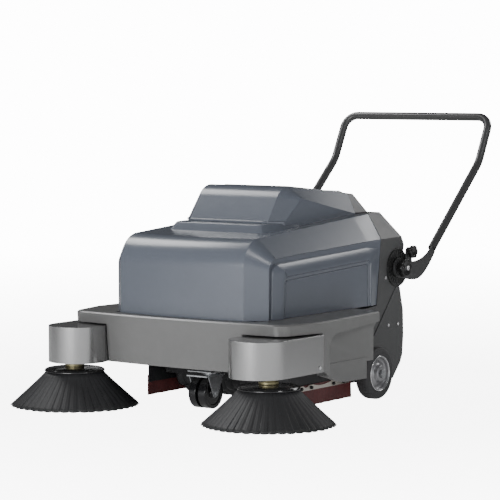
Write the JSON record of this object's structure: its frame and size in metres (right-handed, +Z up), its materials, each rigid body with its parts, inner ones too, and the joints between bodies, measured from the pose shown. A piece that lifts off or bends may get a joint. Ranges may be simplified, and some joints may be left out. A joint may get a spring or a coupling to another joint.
{
  "type": "walk-behind sweeper",
  "caption": "Battery walk-behind floor sweeper with splayed side brushes, a main brush, a lifting hood, a dust drawer, a caster and a folding push handle.",
  "frame": {"origin": "on the floor, under the middle of the machine's box", "axes": "+Z up, the front with the side brushes faces -Y, the push handle is at +Y, +X is the machine's right looking along +Y"},
  "size_m": [1.128, 1.6365, 0.8865],
  "materials": {
    "chassis_paint": "satin black powder coat",
    "bumper_plastic": "moulded warm grey, light grain",
    "pod_finish": "satin metallic grey",
    "housing_plastic": "moulded dark grey",
    "flap_rubber": "dark red rubber sheet",
    "strip_steel": "brushed zinc-plated strip",
    "bolt_black": "black oxide",
    "screw_metal": "bright pan head",
    "battery_plastic": "moulded battery casing",
    "controller_alloy": "finned casting",
    "motor_paint": "satin painted can",
    "filter_fabric": "pleated filter cloth",
    "fan_plastic": "moulded black",
    "zinc_steel": "zinc-plated sheet",
    "panel_plastic": "moulded black",
    "disc_plastic": "glass-filled nylon",
    "belt_rubber": "belt rubber",
    "hinge_steel": "painted steel",
    "hood_plastic": "blue-grey satin moulding",
    "handle_paint": "semi-gloss black coat",
    "knob_plastic": "black nylon",
    "hub_brass": "dull brass",
    "brush_disc_plastic": "gloss black moulding",
    "bristle_nylon": "dark grey bristle tufts",
    "tyre_rubber": "solid dark tyre",
    "wheel_alloy": "cast hub",
    "core_plastic": "brush core",
    "pulley_alloy": "turned pulley",
    "caster_plastic": "gloss black tread",
    "bin_plastic": "moulded drawer",
    "key_metal": "plated key",
    "rocker_plastic": "green rocker",
    "stop_plastic": "red mushroom head"
  },
  "bodies": {
    "chassis": {"side_frame_left": "chassis_paint", "side_frame_right": "chassis_paint", "deck_plate": "chassis_paint", "equipment_plate": "chassis_paint", "bumper_shell": "bumper_plastic", "pod_left": "pod_finish", "pod_right": "pod_finish", "rear_housing": "housing_plastic", "rear_cover_left": "housing_plastic", "rear_cover_right": "housing_plastic", "side_flap_left": "flap_rubber", "side_flap_right": "flap_rubber", "flap_clamp_left": "strip_steel", "flap_clamp_right": "strip_steel", "flap_bolts": "bolt_black", "body_screws": "screw_metal", "battery_left": "battery_plastic", "battery_right": "battery_plastic", "controller_box": "controller_alloy", "main_motor": "motor_paint", "side_motor_left": "motor_paint", "side_motor_right": "motor_paint", "filter_cartridge": "filter_fabric", "fan_casing": "fan_plastic", "caster_plate": "zinc_steel", "wheel_axles": "zinc_steel", "control_panel": "panel_plastic", "charge_inlet": "panel_plastic", "tilt_disc_left": "disc_plastic", "tilt_disc_right": "disc_plastic", "drive_belt": "belt_rubber", "hood_hinge_pin": "hinge_steel"},
    "hood": {"hood_shell": "hood_plastic"},
    "handle": {"handle_tube": "handle_paint", "handle_arm_left": "handle_paint", "handle_arm_right": "handle_paint"},
    "lock_knob_left": {"lock_knob_left": "knob_plastic"},
    "stop_knob_left": {"stop_knob_left": "knob_plastic"},
    "side_brush_left": {"brush_hub_left": "hub_brass", "brush_disc_left": "brush_disc_plastic", "bristle_skirt_left": "bristle_nylon"},
    "wheel_left": {"tyre_left": "tyre_rubber", "wheel_hub_left": "wheel_alloy"},
    "lock_knob_right": {"lock_knob_right": "knob_plastic"},
    "stop_knob_right": {"stop_knob_right": "knob_plastic"},
    "side_brush_right": {"brush_hub_right": "hub_brass", "brush_disc_right": "brush_disc_plastic", "bristle_skirt_right": "bristle_nylon"},
    "wheel_right": {"tyre_right": "tyre_rubber", "wheel_hub_right": "wheel_alloy"},
    "main_brush": {"main_brush_core": "core_plastic", "main_brush_bristles": "bristle_nylon"},
    "motor_pulley": {"motor_pulley": "pulley_alloy"},
    "caster_fork": {"caster_fork": "zinc_steel"},
    "caster_wheel": {"caster_wheels": "caster_plastic"},
    "dust_drawer": {"dust_bin": "bin_plastic"},
    "key_switch": {"key_switch": "key_metal"},
    "power_rocker": {"power_rocker": "rocker_plastic"},
    "stop_button": {"stop_button": "stop_plastic"}
  },
  "joints": [
    {"name": "side_brush_left_spin", "type": "hinge", "parent": "chassis", "child": "side_brush_left", "pos_m": [-0.364, -0.6185, 0.11], "axis": [0, 0, 1], "continuous": true},
    {"name": "side_brush_right_spin", "type": "hinge", "parent": "chassis", "child": "side_brush_right", "pos_m": [0.364, -0.6185, 0.11], "axis": [0, 0, 1], "continuous": true},
    {"name": "main_brush_spin", "type": "hinge", "parent": "chassis", "child": "main_brush", "pos_m": [0, -0.172, 0.129], "axis": [1, 0, 0], "continuous": true},
    {"name": "handle_tilt", "type": "hinge", "parent": "chassis", "child": "handle", "pos_m": [0, 0.2105, 0.401], "axis": [-1, 0, 0], "range_deg": [-118, 20]},
    {"name": "motor_pulley_spin", "type": "hinge", "parent": "chassis", "child": "motor_pulley", "pos_m": [-0.256, -0.215, 0.331], "axis": [1, 0, 0], "continuous": true},
    {"name": "wheel_left_spin", "type": "hinge", "parent": "chassis", "child": "wheel_left", "pos_m": [-0.314, 0.0335, 0.082], "axis": [1, 0, 0], "continuous": true},
    {"name": "wheel_right_spin", "type": "hinge", "parent": "chassis", "child": "wheel_right", "pos_m": [0.314, 0.0335, 0.082], "axis": [1, 0, 0], "continuous": true},
    {"name": "caster_swivel", "type": "hinge", "parent": "chassis", "child": "caster_fork", "pos_m": [0, -0.4075, 0.1], "axis": [0, 0, 1], "continuous": true},
    {"name": "caster_wheel_spin", "type": "hinge", "parent": "caster_fork", "child": "caster_wheel", "pos_m": [0, -0.4325, 0.048], "axis": [1, 0, 0], "continuous": true},
    {"name": "hood_lift", "type": "hinge", "parent": "chassis", "child": "hood", "pos_m": [0, 0.134, 0.641], "axis": [-1, 0, 0], "range_deg": [0, 60]},
    {"name": "dust_bin_slide", "type": "slide", "parent": "chassis", "child": "dust_drawer", "axis": [0, 1, 0], "range_m": [0, 0.32]},
    {"name": "lock_knob_left_turn", "type": "hinge", "parent": "handle", "child": "lock_knob_left", "pos_m": [-0.316, 0.2105, 0.401], "axis": [-1, 0, 0], "range_deg": [0, 360]},
    {"name": "lock_knob_right_turn", "type": "hinge", "parent": "handle", "child": "lock_knob_right", "pos_m": [0.316, 0.2105, 0.401], "axis": [1, 0, 0], "range_deg": [0, 360]},
    {"name": "stop_knob_left_turn", "type": "hinge", "parent": "handle", "child": "stop_knob_left", "pos_m": [-0.312, 0.267, 0.449], "axis": [-1, 0, 0], "range_deg": [0, 360]},
    {"name": "stop_knob_right_turn", "type": "hinge", "parent": "handle", "child": "stop_knob_right", "pos_m": [0.312, 0.267, 0.449], "axis": [1, 0, 0], "range_deg": [0, 360]},
    {"name": "key_turn", "type": "hinge", "parent": "chassis", "child": "key_switch", "pos_m": [-0.062, 0.20145, 0.5675], "axis": [0, -0.87, -0.493], "range_deg": [0, 90]},
    {"name": "power_rocker_tilt", "type": "hinge", "parent": "chassis", "child": "power_rocker", "pos_m": [0, 0.21189, 0.57342], "axis": [1, 0, 0], "range_deg": [0, 14]},
    {"name": "stop_button_press", "type": "slide", "parent": "chassis", "child": "stop_button", "axis": [0, -0.87, -0.493], "range_m": [0, 0.004], "stiffness_N_per_m": 600}
  ],
  "couplings": [
    {"joint": "motor_pulley_spin", "follows": "main_brush_spin", "ratio": 2}
  ]
}
